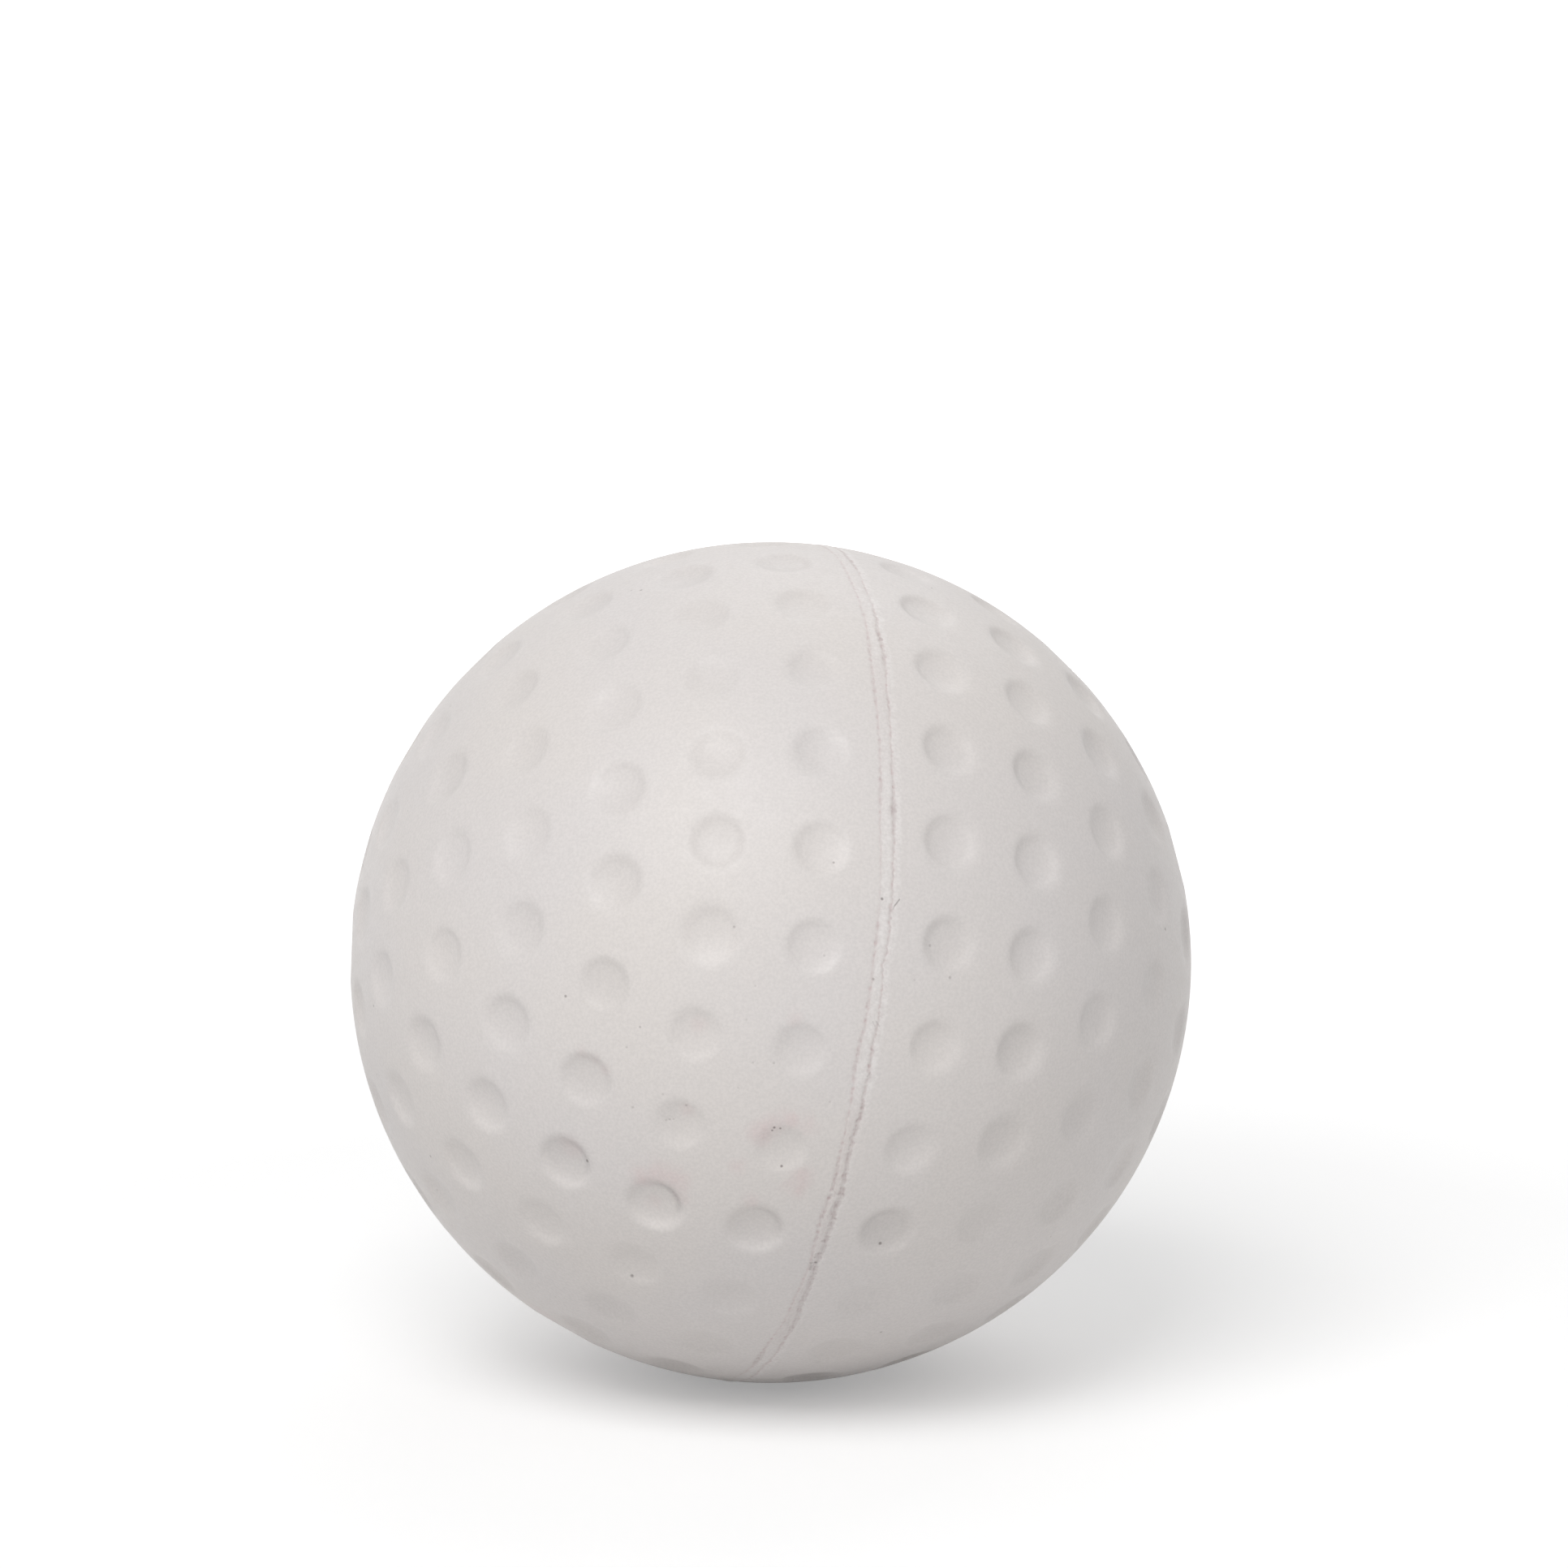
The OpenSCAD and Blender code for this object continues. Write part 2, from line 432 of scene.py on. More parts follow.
def side_vectors(axis):
    """Two unit vectors that stand square to a direction and to each other."""
    helper = np.array([0, 0, 1.0]) if abs(axis[2]) < 0.9 else np.array([1.0, 0, 0])
    first = unit(np.cross(helper, axis))
    return first, np.cross(axis, first)


def ring(axis, radius, count, start=0):
    """Unit vectors on a circle round a direction, at a distance along the ball's surface."""
    first, second = side_vectors(axis)
    turn = start + np.arange(count) * 2 * math.pi / count
    tilt = radius / BALL_R
    spread = np.outer(np.cos(turn), first) + np.outer(np.sin(turn), second)
    return math.cos(tilt) * axis + math.sin(tilt) * spread


def round_noise(rng, angles, shortest, longest, terms, height):
    """Seeded waviness that closes on itself, with wave lengths in millimetres."""
    way_round = 2 * math.pi * BALL_R
    total = np.zeros_like(angles)
    for _ in range(terms):
        length = math.exp(rng.uniform(math.log(shortest), math.log(longest)))
        waves = round(way_round / length)
        total += np.cos(waves * angles + rng.uniform(0, 2 * math.pi))
    return total * height / math.sqrt(terms)


class Waves:
    """Faint seeded unevenness over the whole ball."""

    def __init__(self, rng):
        lengths = rng.uniform(*WAVE_LENGTHS, WAVE_COUNT)
        axes = unit(rng.normal(size=(WAVE_COUNT, 3)))
        self.vectors = axes * (2 * math.pi * BALL_R / lengths)[:, None]
        self.phases = rng.uniform(0, 2 * math.pi, WAVE_COUNT)

    def at(self, directions):
        waves = np.cos(directions @ self.vectors.T + self.phases).sum(axis=1) / math.sqrt(WAVE_COUNT)
        return WAVE_HEIGHT * (np.clip(waves, -WAVE_LIMIT, WAVE_LIMIT) / WAVE_LIMIT - 1)


def on_circle(tilt, middle_x, middle_y, radius, side):
    """Distance from the ball's centre to a circle, its near side for -1 and its far side for 1."""
    along = middle_x * np.sin(tilt) + middle_y * np.cos(tilt)
    across = middle_x * np.cos(tilt) - middle_y * np.sin(tilt)
    return along + side * np.sqrt(np.maximum(radius**2 - across**2, 0))


def dimple_radius(tilt, depth, rim_r):
    """Distance from the ball's centre at an angle from a dimple's middle.

    The section is a shallow floor, a rounded corner, and a rounded rim that touches the ball's surface.
    """
    floor_middle = BALL_R - depth + FLOOR_R
    lift = math.asin(FLOOR_D / 2 / FLOOR_R)
    corner_x = (FLOOR_R - CORNER_R) * math.sin(lift)
    corner_y = floor_middle - (FLOOR_R - CORNER_R) * math.cos(lift)
    corner_far = np.hypot(corner_x, corner_y)
    reach = BALL_R - rim_r
    apart = (corner_far**2 + reach**2 - (CORNER_R + rim_r) ** 2) / (2 * corner_far * reach)
    rim_angle = np.arctan2(corner_x, corner_y) + np.arccos(np.clip(apart, -1, 1))
    rim_x, rim_y = reach * np.sin(rim_angle), reach * np.cos(rim_angle)
    share = CORNER_R / (CORNER_R + rim_r)
    rim_touch = np.arctan2(corner_x + share * (rim_x - corner_x), corner_y + share * (rim_y - corner_y))
    floor_touch = np.arctan2(FLOOR_D / 2, floor_middle - FLOOR_R * math.cos(lift))
    floor = on_circle(tilt, 0, floor_middle, FLOOR_R, -1)
    corner = on_circle(tilt, corner_x, corner_y, CORNER_R, -1)
    rim = on_circle(tilt, rim_x, rim_y, rim_r, 1)
    outside = np.where(tilt < rim_angle, rim, BALL_R)
    return np.where(tilt < floor_touch, floor, np.where(tilt < rim_touch, corner, outside))


class Dimples:
    """The dimples' middles, and the surface that they leave."""

    def __init__(self, rng):
        self.lay_out()
        count = len(self.middles)
        self.rims = rng.uniform(*RIM_R_RANGE, count)
        self.depths = DIMPLE_DEPTH * (1 + rng.uniform(-DEPTH_SPREAD, DEPTH_SPREAD, count))
        # Painted shade in each bowl and along its upper edge
        self.dimple_shade = rng.uniform(*BOWL_SHADE_RANGE, count)
        self.edge_shade = np.zeros(count)
        # The side that gets painted shade along each dimple's edge: upwards in the view, leaning to the seam
        upward = unit(-self.middles * (self.middles @ UP_IN_VIEW)[:, None] + UP_IN_VIEW)
        self.shaded_side = unit(upward + SEAMWARD_SHADE * self.seamward)
        self.take_read_ones()

    def lay_out(self):
        """The rows of both halves, with each dimple's way to the seam and how crisp its rim is there."""
        middles, seamward, crisp = [], [], []
        for side, start in ((1, ROW_START), (-1, ROW_START + HALF_SLIP)):
            for row, count in enumerate(ROW_COUNTS):
                offset = side * (FIRST_ROW + row * ROW_PITCH)
                for place in range(count):
                    angle = start + place * 2 * math.pi / count
                    middles.append(surface_direction(angle, offset))
                    seamward.append(surface_direction(angle, offset - side * math.pi / 2 * BALL_R))
                    crisp.append(SEAMWARD_CRISPNESS * math.cos(offset / BALL_R))
            middles.append(np.array([0, 0, float(side)]))
            seamward.append(np.array([1.0, 0, 0]))
            crisp.append(0.0)
        self.middles = np.array(middles)
        self.seamward = np.array(seamward)
        self.crisp = np.array(crisp)

    def take_read_ones(self):
        """Gives the dimples that the photograph shows their own places and values."""
        for x, y, rim, depth, dimple_shade, edge_shade in READ_DIMPLES:
            place = mould_direction(x, y)
            nearest = (self.middles @ place).argmax()
            self.middles[nearest] = place
            self.rims[nearest] = rim
            self.depths[nearest] = depth
            self.dimple_shade[nearest] = dimple_shade
            self.edge_shade[nearest] = edge_shade

    def distances(self, directions):
        """Distance in millimetres along the surface to the nearest middle, and which it is."""
        cosines = directions @ self.middles.T
        nearest = cosines.argmax(axis=1)
        best = cosines[np.arange(len(directions)), nearest]
        return np.arccos(np.clip(best, -1, 1)) * BALL_R, nearest

    def facing(self, directions, nearest, ways):
        """Cosine of the turn between a place's direction from its dimple's middle and that dimple's way."""
        middles = self.middles[nearest]
        aside = directions - middles * (directions * middles).sum(axis=1, keepdims=True)
        length = np.maximum(np.linalg.norm(aside, axis=1), 1e-9)
        return (aside * ways[nearest]).sum(axis=1) / length

    def radii(self, directions):
        distance, nearest = self.distances(directions)
        crisp = self.crisp[nearest] * self.facing(directions, nearest, self.seamward)
        rims = np.maximum(self.rims[nearest] * (1 - crisp), RIM_R_LEAST)
        radii = dimple_radius(distance / BALL_R, self.depths[nearest], rims)
        return np.where(distance < RIM_RINGS[-1], radii, BALL_R)

    def shade_at(self, directions):
        # Painted shade: darker over each dimple's bowl, and along the edge on its upper, seamward side
        distance, nearest = self.distances(directions)
        bowl = self.dimple_shade[nearest] * (1 - smooth_step(distance, *BOWL_SHADE_REACH))
        edge = np.exp(-(((distance - EDGE_SHADE_PLACE) / EDGE_SHADE_WIDTH) ** 2))
        facing = np.maximum(self.facing(directions, nearest, self.shaded_side), 0)
        return bowl + self.edge_shade[nearest] * edge * facing**EDGE_SHADE_FOCUS

    def points(self):
        """Rings of points that follow each dimple's section."""
        groups = []
        for middle in self.middles:
            for radius, count in RING_POINTS:
                groups.append(ring(middle, radius, count))
            for step, radius in enumerate(RIM_RINGS):
                groups.append(ring(middle, radius, RIM_POINTS, math.pi / RIM_POINTS * (step % 2)))
        return np.concatenate(groups)


def seam_angles():
    """Angles round the mould axis in rising order, closer together where the photograph shows the seam."""
    first, last = seam_stretch()
    whole = 2 * math.pi
    fine = np.arange(first, last, SEAM_FINE_STEP / BALL_R)
    count = round((whole - (last - first)) * BALL_R / SEAM_STEP)
    coarse = last + np.arange(count) * (whole - (last - first)) / count
    angles = np.concatenate([fine, coarse])
    return np.sort((angles + math.pi) % whole - math.pi)


def read_share(angles, first, last):
    """1 from the first angle to the last, where the seam is read, and 0 well away from there."""
    before = smooth_step(angles, first - READ_FADE, first)
    after = 1 - smooth_step(angles, last, last + READ_FADE)
    return np.minimum(before, after)


def near_wave(angles, middle, reach):
    """A bump of height 1 round an angle, in millimetres along the seam."""
    apart = (angles - middle + math.pi) % (2 * math.pi) - math.pi
    return np.exp(-((apart * BALL_R / reach) ** 2))


class Cut:
    """One of the two fine cuts that edge the seam band."""

    def __init__(self, rng, angles, side, read_px, bites_px, ragged, seeded_bites):
        read = np.array(sorted(seam_place(x, y) + (strength,) for x, y, strength in read_px))
        first, last = read[0, 0], read[-1, 0]
        middle = side * BAND_W / 2 - SEAM_SHIFT + round_noise(rng, angles, *DRIFT_WAVES)
        strength = SEEDED_STRENGTH + round_noise(rng, angles, *STRENGTH_WAVES)
        inside = read_share(angles, first, last)
        self.middle = inside * np.interp(angles, read[:, 0], read[:, 1]) + (1 - inside) * middle
        self.middle += round_noise(rng, angles, *RAGGED_WAVES, ragged)
        self.middle += round_noise(rng, angles, *FINE_RAGGED_WAVES, FINE_RAGGED_SHARE * ragged)
        self.strength = inside * np.interp(angles, read[:, 0], read[:, 2]) + (1 - inside) * strength
        self.strength = np.clip(self.strength, *STRENGTH_RANGE)
        bites = [(seam_place(x, y)[0], radius / PX_PER_MM) for x, y, radius in bites_px]
        for _ in range(seeded_bites):
            place = rng.uniform(-math.pi, math.pi)
            size = rng.uniform(*SEEDED_BITE_R)
            if not first < place < last:
                bites.append((place, size))
        self.bite = np.zeros_like(angles)
        for place, size in bites:
            self.bite = np.maximum(self.bite, size * near_wave(angles, place, size * BITE_LENGTH))
        self.shape(np.clip(1 + round_noise(rng, angles, *FLUTTER_WAVES), *FLUTTER_RANGE))

    def shape(self, flutter):
        """Depth, half the width, pink line and grime of the cut, from its strength and its bites."""
        depth = CUT_DEPTH * self.strength**2 * flutter + BITE_DEPTH * self.bite
        self.depth = np.clip(depth, *CUT_DEPTH_RANGE)
        steady, fluttering, strong = HALF_WIDTH_SHARES
        half = HALF_WIDTH * (steady + fluttering * flutter + strong * self.strength**3)
        self.half = half + BITE_WIDTH * self.bite
        pink = LINE_TINT * self.strength * (LINE_FADE - self.strength)
        self.line = np.clip(pink * flutter + BITE_TINT * self.bite, 0, LINE_TINT_MOST)
        grime = GRIME_RISE * (self.strength - GRIME_FROM) * (CALM_SHARE + (1 - CALM_SHARE) * flutter)
        self.grime = np.clip(grime, 0, GRIME_MOST) + BITE_GRIME * self.bite


def freshness(angles, rng):
    """How much whiter the trimmed plastic of the band shows, round the seam."""
    strong, weak = (seam_place(x, y)[0] for x, y in FRESH_FADE_PX)
    read = 1 - smooth_step(angles, strong, weak)
    inside = read_share(angles, *seam_stretch())
    seeded = SEEDED_FRESHNESS + round_noise(rng, angles, *FRESH_WAVES)
    return np.clip(inside * read + (1 - inside) * seeded, 0, 1)


def cut_columns(cut, before, after, bare_after):
    """The rows of points over one cut, between the heights of the surface before it and after it."""
    columns = []
    for across, low, high, depth, line, bare, grime in CUT_SECTION:
        height = low * before + high * after - depth * cut.depth
        place = cut.middle + across * cut.half
        columns.append((place, height, line * cut.line, bare * bare_after, grime * cut.grime))
    return columns


def seam_columns(left, right, angles, rng):
    """Offset across the seam, height, line, freshness and grime for each row of points that runs round it.

    Each cut falls away steeply on its low side and climbs back gently on its high side.
    """
    fresh = freshness(angles, rng)
    dull = DULL_SHARE * (1 - fresh)
    reach = CUT_SECTION[-1][0]
    band_start = left.middle + reach * left.half
    band = right.middle - reach * right.half - band_start
    scrape_end = right.middle + SCRAPE_W + round_noise(rng, angles, *ROUGH_WAVES, SCRAPE_ROUGHNESS)
    edge = BAND_H * np.clip(EDGE_RISE * right.strength - EDGE_DROP, *EDGE_RANGE)
    columns = [
        (-STRIP_REACH, 0),
        ((left.middle - left.half - STRIP_REACH) / 2, 0),
        (left.middle - left.half - CUT_LIP, LIP_HEIGHT),
    ]
    columns += cut_columns(left, 0, 0, LEFT_BARE * fresh)
    for across, low, high, bare in BAND_SECTION:
        rough = round_noise(rng, angles, *ROUGH_WAVES, BAND_ROUGHNESS)
        height = low * BAND_H + high * edge + rough
        columns.append((band_start + across * band, height, dull, bare * fresh, dull))
    columns += cut_columns(right, edge, 0, RIGHT_BARE + SCRAPE_FRESH * fresh)
    columns += [
        (scrape_end, LIP_HEIGHT, 0, SCRAPE_BARE + SCRAPE_FRESH * fresh),
        (scrape_end + SCRAPE_FADE, 0),
        ((scrape_end + SCRAPE_FADE + STRIP_REACH) / 2, 0),
        (STRIP_REACH, 0),
    ]
    return [filled_column(column, len(angles)) for column in columns]


def filled_column(column, steps):
    """A column's five parts with a value for each step. A part that isn't given is 0."""
    parts = list(column) + [0.0] * (5 - len(column))
    return [np.broadcast_to(np.asarray(part, float), steps) for part in parts]


def speck_list(rng, dimples):
    """Direction, radius in millimetres and darkness of each speck."""
    specks = []
    for x, y, radius, dark in SPECKS_PX:
        specks.append((under_pixel(x, y, dimples), radius / PX_PER_MM, dark))
    for _ in range(SEEDED_SPECKS):
        direction = unit(rng.normal(size=3))
        radius = rng.uniform(*SEEDED_SPECK_R)
        dark = rng.uniform(*SEEDED_SPECK_DARK) ** SEEDED_DARK_POWER
        if direction @ TO_CAMERA < SEEDED_SPECKS_FACING:
            specks.append((direction, radius, dark))
    kept = []
    for direction, radius, dark in specks:
        clear_of_seam = abs(math.asin(direction[2])) * BALL_R > STRIP_REACH + SPECK_FROM_STRIP
        clear_of_others = all(arc_lengths(direction, other) > SPECK_SPACING for other, _, _ in kept)
        if clear_of_seam and clear_of_others:
            kept.append((direction, radius, dark))
    return kept


def speck_pits(specks):
    """Points over each speck's small pit, with their heights and grime."""
    points, heights, grime = [], [], []
    for direction, radius, dark in specks:
        for reach, count, share in SPECK_RINGS:
            points.append(ring(direction, reach * radius, count))
            heights += [-SPECK_DEPTH * share] * count
            grime += [dark * share] * count
    return np.concatenate(points), heights, grime


def stain_amounts(directions, rng):
    """How strongly the pink stains show at each direction."""
    stains = []
    for x, y, radius, amount in STAINS_PX:
        stains.append((mould_direction(x, y), radius / PX_PER_MM, amount))
    for _ in range(SEEDED_STAINS):
        direction = unit(rng.normal(size=3))
        radius = rng.uniform(*SEEDED_STAIN_R)
        amount = rng.uniform(*SEEDED_STAIN_AMOUNT)
        if direction @ TO_CAMERA < SEEDED_STAINS_FACING:
            stains.append((direction, radius, amount))
    total = np.zeros(len(directions))
    for middle, radius, amount in stains:
        start, end = STAIN_EDGE
        fade = smooth_step(arc_lengths(directions, middle), start * radius, end * radius)
        total = np.maximum(total, amount * (1 - fade))
    return total


def land_points(dimples):
    """Even points over the plain surface between the dimples and the seam."""
    count = round(4 * math.pi * BALL_R**2 / (LAND_PITCH**2 * LAND_CELL))
    index = np.arange(count) + 0.5
    up = 1 - 2 * index / count
    turn = index * math.pi * (3 - math.sqrt(5))
    flat = np.sqrt(1 - up * up)
    points = np.stack([flat * np.cos(turn), flat * np.sin(turn), up], axis=1)
    distance, _ = dimples.distances(points)
    off_seam = np.abs(np.arcsin(points[:, 2])) * BALL_R
    return points[(distance > LAND_FROM_DIMPLE) & (off_seam > LAND_FROM_SEAM)]


def graded_points(dimples):
    """Rows beside the seam whose points thin out towards the plain surface."""
    rows = []
    for offset, thinning in GRADED_ROWS:
        count = round(2 * math.pi * BALL_R / (SEAM_STEP * thinning))
        angle = (np.arange(count) + 0.5) * 2 * math.pi / count
        rows.append(surface_direction(angle, np.full_like(angle, offset)))
        rows.append(surface_direction(angle, np.full_like(angle, -offset)))
    points = np.concatenate(rows)
    distance, _ = dimples.distances(points)
    return points[distance > RIM_RINGS[-1] + GRADED_FROM_RIM]


def without_near(points, others, reach):
    """Drops the points that lie within reach, in millimetres, of any of the others."""
    keep = np.ones(len(points), bool)
    limit = math.cos(reach / BALL_R)
    for other in others:
        keep &= points @ other < limit
    return points[keep]


def strip_faces(columns, steps):
    """Triangles between neighbouring lines of the strip along the seam."""
    faces = []
    for column in range(columns - 1):
        for step in range(steps):
            after = (step + 1) % steps
            a = column * steps + step
            b = column * steps + after
            c = (column + 1) * steps + after
            d = (column + 1) * steps + step
            faces.append((a, b, c))
            faces.append((a, c, d))
    return faces


def triangulate_half(directions, indices, side):
    """Triangles over one half, from its points seen from the opposite pole."""
    local = directions[indices]
    flat = local[:, :2] / (1 + side * local[:, 2:3])
    result = delaunay_2d_cdt([Vector(p) for p in flat], [], [], 0, MERGE_WITHIN, True)
    origin = [sources[0] for sources in result[3]]
    faces = []
    for face in result[2]:
        corners = [int(indices[origin[corner]]) for corner in face]
        faces.append(corners if side > 0 else corners[::-1])
    return faces


def skin_faces(directions, columns, steps):
    """Triangles over the whole ball. The strip along the seam holds the first of its points."""
    strip = columns * steps
    loose = np.arange(strip, len(directions))
    upper = loose[directions[loose, 2] > 0]
    lower = loose[directions[loose, 2] < 0]
    edge_low = np.arange(steps)
    edge_high = np.arange(strip - steps, strip)
    faces = strip_faces(columns, steps)
    faces += triangulate_half(directions, np.concatenate([edge_high, upper]), 1)
    faces += triangulate_half(directions, np.concatenate([edge_low, lower]), -1)
    return faces


def new_mesh(vertices, faces, layers):
    mesh = bpy.data.meshes.new("ball_skin")
    mesh.from_pydata(vertices.tolist(), [], faces)
    for name, values in layers.items():
        attribute = mesh.attributes.new(name, "FLOAT", "POINT")
        attribute.data.foreach_set("value", values.astype(np.float32))
    mesh.shade_smooth()
    mesh.update()
    return mesh


def ball_mesh():
    rng = np.random.default_rng(SEED)
    dimples = Dimples(rng)
    waves = Waves(rng)
    angles = seam_angles()
    left = Cut(rng, angles, -1, LEFT_CUT_PX, LEFT_BITES_PX, LEFT_RAGGED, LEFT_SEEDED_BITES)
    right = Cut(rng, angles, 1, RIGHT_CUT_PX, RIGHT_BITES_PX, RIGHT_RAGGED, RIGHT_SEEDED_BITES)
    columns = seam_columns(left, right, angles, rng)
    strip = np.concatenate([surface_direction(angles, column[0]) for column in columns])
    _, strip_height, line, fresh, dark = (np.concatenate(parts) for parts in zip(*columns))

    specks = speck_list(rng, dimples)
    speck_points, speck_height, speck_grime = speck_pits(specks)
    plain = np.concatenate([dimples.points(), graded_points(dimples), land_points(dimples)])
    plain = without_near(plain, [direction for direction, _, _ in specks], LAND_FROM_SPECK)

    directions = np.concatenate([strip, speck_points, plain])
    height = np.concatenate([strip_height, speck_height, np.zeros(len(plain))])
    radii = dimples.radii(directions) + waves.at(directions) + height
    vertices = (directions * radii[:, None]) @ POSE.T * MM
    off_strip = (0, len(speck_points) + len(plain))
    layers = {
        "grime": np.pad(speck_grime, (len(strip), len(plain))),
        "line": np.pad(line, off_strip),
        "dark": np.pad(dark, off_strip),
        "fresh": np.pad(fresh, off_strip),
        "stain": stain_amounts(directions, rng),
        # Painted shade in the dimples
        "dimple_shade": dimples.shade_at(directions),
    }
    return new_mesh(vertices, skin_faces(directions, len(columns), len(angles)), layers)


class Nodes:
    """Short calls for building a node tree."""

    def __init__(self, tree):
        self.tree = tree
        tree.nodes.clear()

    def put(self, value, socket):
        """Links a socket, or sets a plain value."""
        if isinstance(value, bpy.types.NodeSocket):
            self.tree.links.new(value, socket)
        else:
            socket.default_value = value

    def add(self, kind, inputs=None, **settings):
        node = self.tree.nodes.new(kind)
        for name, value in settings.items():
            setattr(node, name, value)
        for name, value in (inputs or {}).items():
            self.put(value, node.inputs[name])
        return node

    def attribute(self, name):
        return self.add("ShaderNodeAttribute", attribute_name=name).outputs["Fac"]

    def noise(self, place, size_mm, detail=2.0):
        settings = {"Vector": place, "Scale": 1 / (size_mm * MM), "Detail": detail}
        return self.add("ShaderNodeTexNoise", settings).outputs["Fac"]

    def maths(self, operation, first, second):
        return self.add("ShaderNodeMath", {0: first, 1: second}, operation=operation).outputs[0]

    def vector(self, operation, inputs, output=0):
        return self.add("ShaderNodeVectorMath", inputs, operation=operation).outputs[output]

    def spread(self, value, low, high, at_low=0.35, at_high=0.65):
        """Low where the value is at_low, and high where it is at_high. A noise lies mostly between them."""
        settings = {"Value": value, "From Min": at_low, "From Max": at_high, "To Min": low, "To Max": high}
        return self.add("ShaderNodeMapRange", settings).outputs["Result"]

    def blend(self, share, first, second):
        """Mixes two colours, which a mix node takes at its sockets 6 and 7 and gives at 2."""
        node = self.tree.nodes.new("ShaderNodeMix")
        node.data_type = "RGBA"
        for index, value in ((0, share), (6, first), (7, second)):
            self.put(value, node.inputs[index])
        return node.outputs[2]

    def tint(self, tone, layer, pattern, shares, colour_there):
        """Tints a tone where a layer of the mesh says so, by shares that follow a pattern."""
        amount = self.maths("MULTIPLY", self.attribute(layer), self.spread(pattern, *shares))
        return self.blend(amount, tone, colour_there)

    def stretched(self, place):
        """A place drawn out across the seam, so that a noise runs in streaks along the seam."""
        axis = Vector(POSE @ (0, 0, 1))
        across = self.vector("DOT_PRODUCT", {0: place, 1: axis}, "Value")
        push = self.vector("SCALE", {0: axis, "Scale": across})
        longer = self.vector("SCALE", {0: push, "Scale": STREAK_STRETCH - 1})
        return self.vector("ADD", {0: place, 1: longer})

    def near_line(self, place, start, end, half_width):
        """1 along a straight line, falling to 0 at half_width from it. Ends and width are in metres."""
        run = end - start
        aside = self.vector("SUBTRACT", {0: place, 1: start})
        along = self.vector("DOT_PRODUCT", {0: aside, 1: run / run.length_squared}, "Value")
        share = self.add("ShaderNodeClamp", {"Value": along}).outputs[0]
        foot = self.vector("SCALE", {0: run, "Scale": share})
        apart = self.vector("DISTANCE", {0: aside, 1: foot}, "Value")
        return self.spread(apart, 1, 0, 0, half_width)

    def scratches(self, place):
        """How dark the scratches are at a place on the ball."""
        total = None
        for x0, y0, x1, y1, half_width, dark in SCRATCHES_PX:
            start = Vector(POSE @ mould_direction(x0, y0) * BALL_R * MM)
            end = Vector(POSE @ mould_direction(x1, y1) * BALL_R * MM)
            near = self.near_line(place, start, end, half_width / PX_PER_MM * MM)
            mark = self.maths("MULTIPLY", near, dark)
            total = mark if total is None else self.maths("MAXIMUM", total, mark)
        return total


def colour(red, green, blue):
    """A colour written as the 0 to 255 values that it shows as."""
    def linear(value):
        value /= 255
        return value / 12.92 if value <= 0.04045 else ((value + 0.055) / 1.055) ** 2.4

    return (linear(red), linear(green), linear(blue), 1.0)


PLASTIC_WARM = colour(224, 218.5, 215)
PLASTIC_COOL = colour(223, 218, 216)
FRESH_COLOUR = colour(234, 230, 228)
STAIN_COLOUR = colour(221, 203, 202)
LINE_COLOUR = colour(190, 157, 159)
SEAM_GRIME_COLOUR = colour(116, 86, 90)
GRIME_COLOUR = colour(106, 92, 91)
WHITE = (1, 1, 1, 1)


def plastic_tone(nodes, place, grime, scratches):
    """The plastic's colour, with its stains, seam lines, specks, scratches, grain, and painted shade in the
    dimples.
    """
    tone = nodes.blend(nodes.spread(nodes.noise(place, CLOUD_MM), 0, 1), PLASTIC_WARM, PLASTIC_COOL)
    stain_patches = nodes.noise(place, STAIN_PATCH_MM, detail=4)
    tone = nodes.tint(tone, "stain", stain_patches, STAIN_SHARES, STAIN_COLOUR)
    fresh_patches = nodes.noise(place, FRESH_PATCH_MM, detail=4)
    tone = nodes.tint(tone, "fresh", fresh_patches, FRESH_SHARES, FRESH_COLOUR)
    streaks = nodes.noise(nodes.stretched(place), STREAK_MM, detail=3)
    tone = nodes.tint(tone, "line", streaks, LINE_SHARES, LINE_COLOUR)
    tone = nodes.tint(tone, "dark", streaks, SEAM_GRIME_SHARES, SEAM_GRIME_COLOUR)
    specks = nodes.maths("MULTIPLY", grime, SPECK_TINT)
    tone = nodes.blend(nodes.maths("MAXIMUM", specks, scratches), tone, GRIME_COLOUR)
    grain = nodes.spread(nodes.noise(place, GRAIN_MM, detail=3), *GRAIN_VALUES)
    # The painted shade in the dimples lowers the value
    grain = nodes.maths("SUBTRACT", grain, nodes.attribute("dimple_shade"))
    return nodes.add("ShaderNodeHueSaturation", {"Value": grain, "Color": tone}).outputs["Color"]


def plastic_relief(nodes, place, scratches):
    """The orange peel and pores of the moulding, with the scratches cut into them."""
    peel = nodes.maths("MULTIPLY", nodes.noise(place, PEEL_MM), PEEL_SHARE)
    pores = nodes.maths("MULTIPLY", nodes.noise(place, PORE_MM), 1 - PEEL_SHARE)
    relief = nodes.maths("SUBTRACT", nodes.maths("ADD", peel, pores), scratches)
    settings = {"Height": relief, "Strength": 1.0, "Distance": RELIEF_DEPTH * MM}
    return nodes.add("ShaderNodeBump", settings).outputs["Normal"]


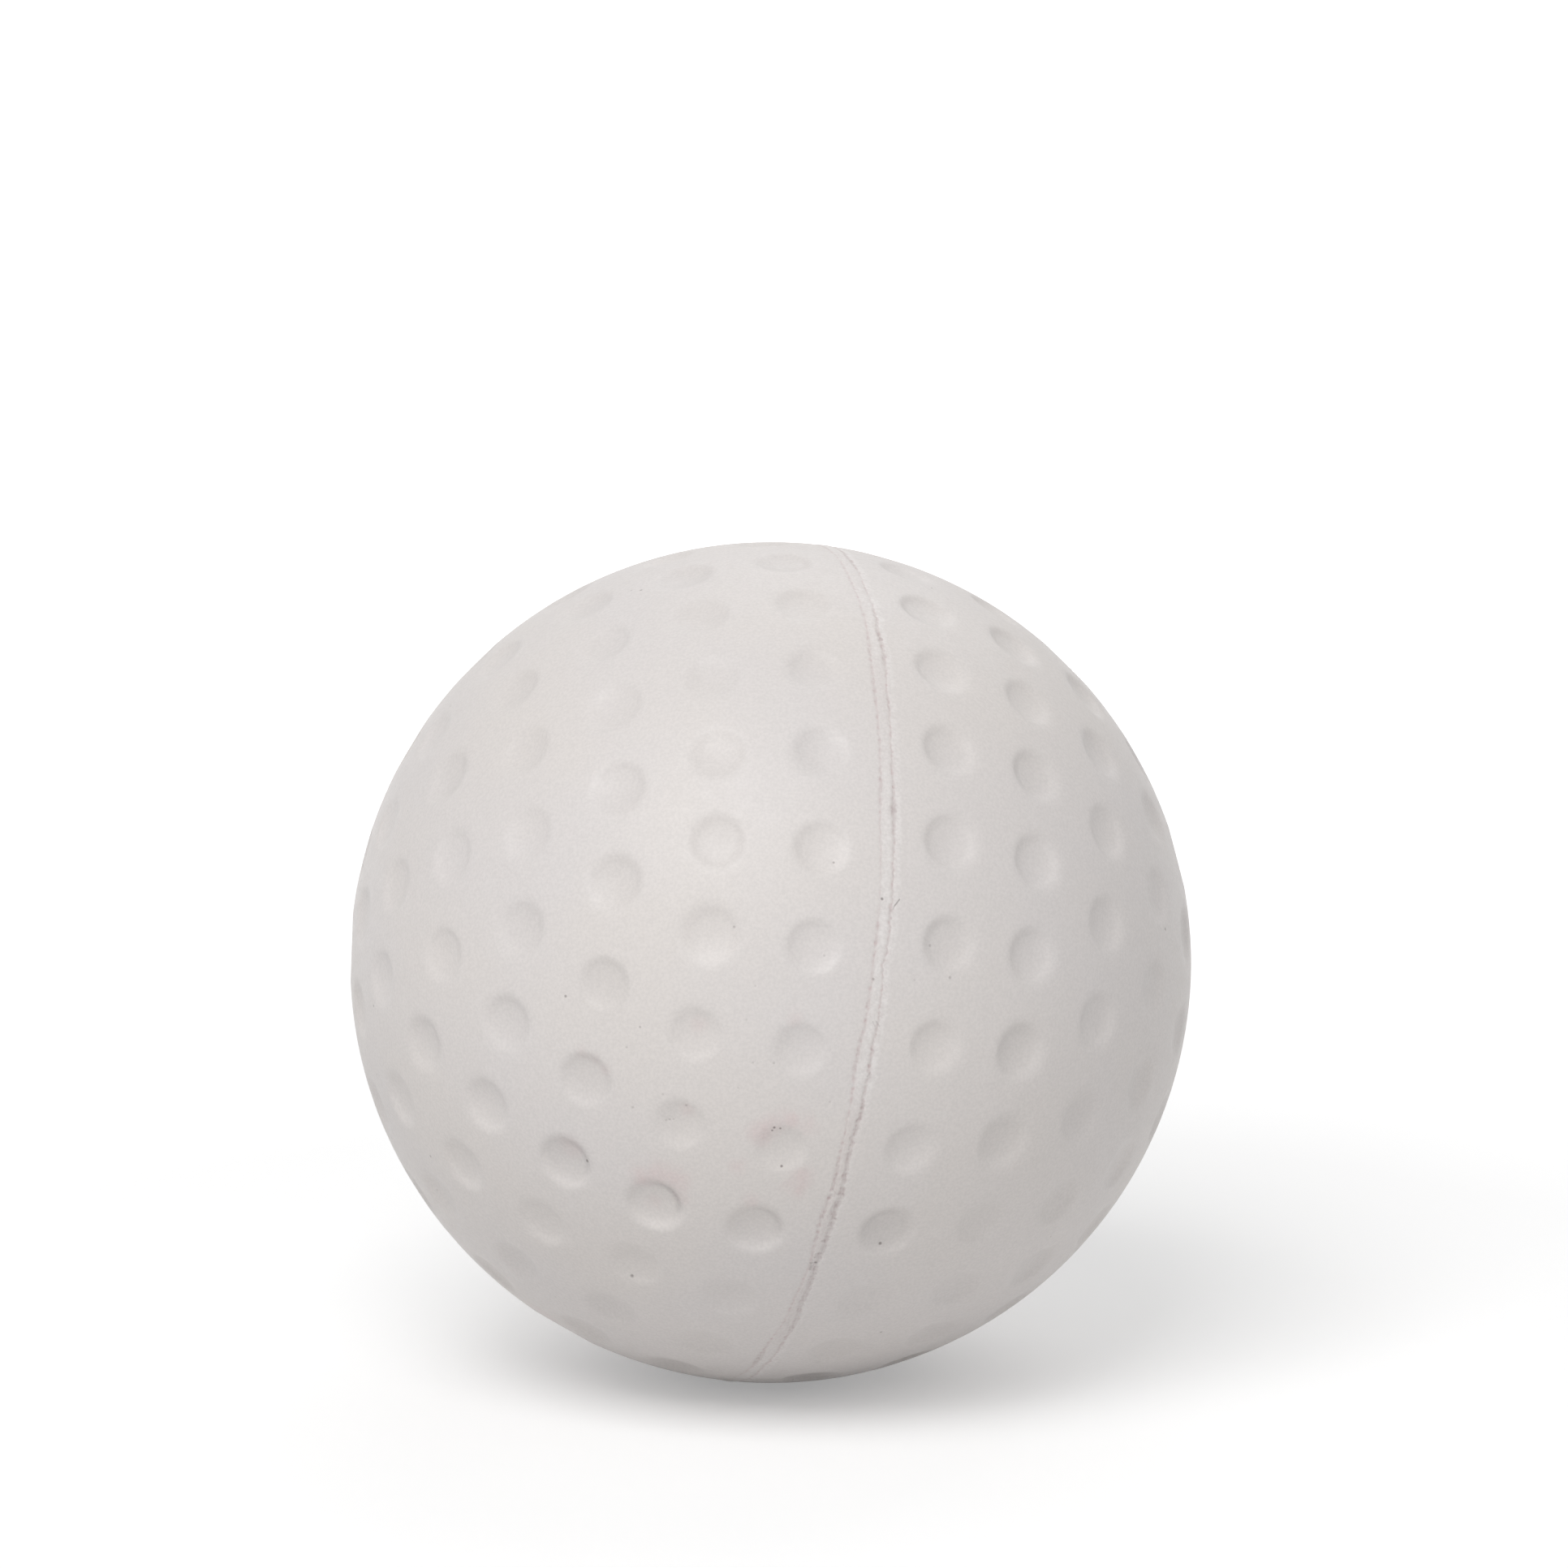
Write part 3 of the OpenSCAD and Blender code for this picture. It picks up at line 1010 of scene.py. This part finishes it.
def plastic_material():
    material = bpy.data.materials.new("moulded_plastic")
    material.use_nodes = True
    nodes = Nodes(material.node_tree)
    place = nodes.add("ShaderNodeTexCoord").outputs["Object"]
    grime = nodes.attribute("grime")
    scratches = nodes.scratches(place)
    rough = nodes.spread(nodes.noise(place, SHEEN_MM, detail=3), *ROUGHNESS_RANGE)
    shader = nodes.add(
        "ShaderNodeBsdfPrincipled",
        {
            "Base Color": plastic_tone(nodes, place, grime, scratches),
            "Roughness": nodes.maths("ADD", rough, nodes.maths("MULTIPLY", grime, GRIME_ROUGHNESS)),
            "IOR": PLASTIC_IOR,
            "Normal": plastic_relief(nodes, place, scratches),
        },
    )
    nodes.add("ShaderNodeOutputMaterial", {"Surface": shader.outputs[0]})
    return material


def seen_directly(nodes):
    """1 for rays that show the surroundings themselves, and 0 for those that only light the ball."""
    path = nodes.add("ShaderNodeLightPath")
    shown = nodes.maths("MAXIMUM", path.outputs["Is Camera Ray"], path.outputs["Is Glossy Ray"])
    return nodes.maths("MAXIMUM", shown, path.outputs["Is Transmission Ray"])


def floor_material():
    material = bpy.data.materials.new("pale_floor")
    material.use_nodes = True
    nodes = Nodes(material.node_tree)
    plain = nodes.add("ShaderNodeBsdfDiffuse", {"Color": FLOOR_COLOUR})
    place = nodes.add("ShaderNodeTexCoord").outputs["Object"]
    distance = nodes.vector("LENGTH", {0: place}, "Value")
    white = nodes.spread(distance, FLOOR_LIFT, FLOOR_LIFT + WHITE_LIFT, *WHITE_FROM)
    lift = nodes.maths("MULTIPLY", seen_directly(nodes), white)
    glow = nodes.add("ShaderNodeEmission", {"Color": WHITE, "Strength": lift})
    both = nodes.add("ShaderNodeAddShader", {0: plain.outputs[0], 1: glow.outputs[0]})
    nodes.add("ShaderNodeOutputMaterial", {"Surface": both.outputs[0]})
    return material


def make_floor():
    low = -BALL_R * MM
    corners = [(x * FLOOR_REACH, y * FLOOR_REACH, low) for x, y in ((-1, -1), (1, -1), (1, 1), (-1, 1))]
    mesh = bpy.data.meshes.new("floor")
    mesh.from_pydata(corners, [], [(0, 1, 2, 3)])
    mesh.materials.append(floor_material())
    floor = bpy.data.objects.new("floor", mesh)
    bpy.context.scene.collection.objects.link(floor)


def make_world():
    world = bpy.data.worlds.new("studio")
    world.use_nodes = True
    nodes = Nodes(world.node_tree)
    light = nodes.add("ShaderNodeBackground", {"Color": WHITE, "Strength": AMBIENT})
    white = nodes.add("ShaderNodeBackground", {"Color": WHITE, "Strength": 1.0})
    either = {0: seen_directly(nodes), 1: light.outputs[0], 2: white.outputs[0]}
    mix = nodes.add("ShaderNodeMixShader", either)
    nodes.add("ShaderNodeOutputWorld", {"Surface": mix.outputs[0]})
    bpy.context.scene.world = world


def make_lamp(name, azimuth, elevation, distance, size, watts):
    """A square soft lamp that faces the ball. Azimuth 0 is the camera's side."""
    a, e = math.radians(azimuth), math.radians(elevation)
    place = Vector((math.sin(a) * math.cos(e), -math.cos(a) * math.cos(e), math.sin(e))) * distance
    data = bpy.data.lights.new(name, "AREA")
    data.shape = "SQUARE"
    data.size = size
    data.energy = watts
    lamp = bpy.data.objects.new(name, data)
    lamp.location = place
    lamp.rotation_euler = (-place).to_track_quat("-Z", "Y").to_euler()
    bpy.context.scene.collection.objects.link(lamp)


def make_ball():
    ball = bpy.data.objects.new("ball_skin", ball_mesh())
    ball.data.materials.append(plastic_material())
    bpy.context.scene.collection.objects.link(ball)
    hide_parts("ball")
    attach(ball, "root")


scene = bpy.context.scene
scene.view_settings.view_transform = "Standard"
make_camera()
make_world()
make_floor()
make_lamp("key", azimuth=-20, elevation=50, distance=1.2, size=0.7, watts=7.6)
make_lamp("back_fill", azimuth=165, elevation=45, distance=1.4, size=1.0, watts=2.8)
make_ball()
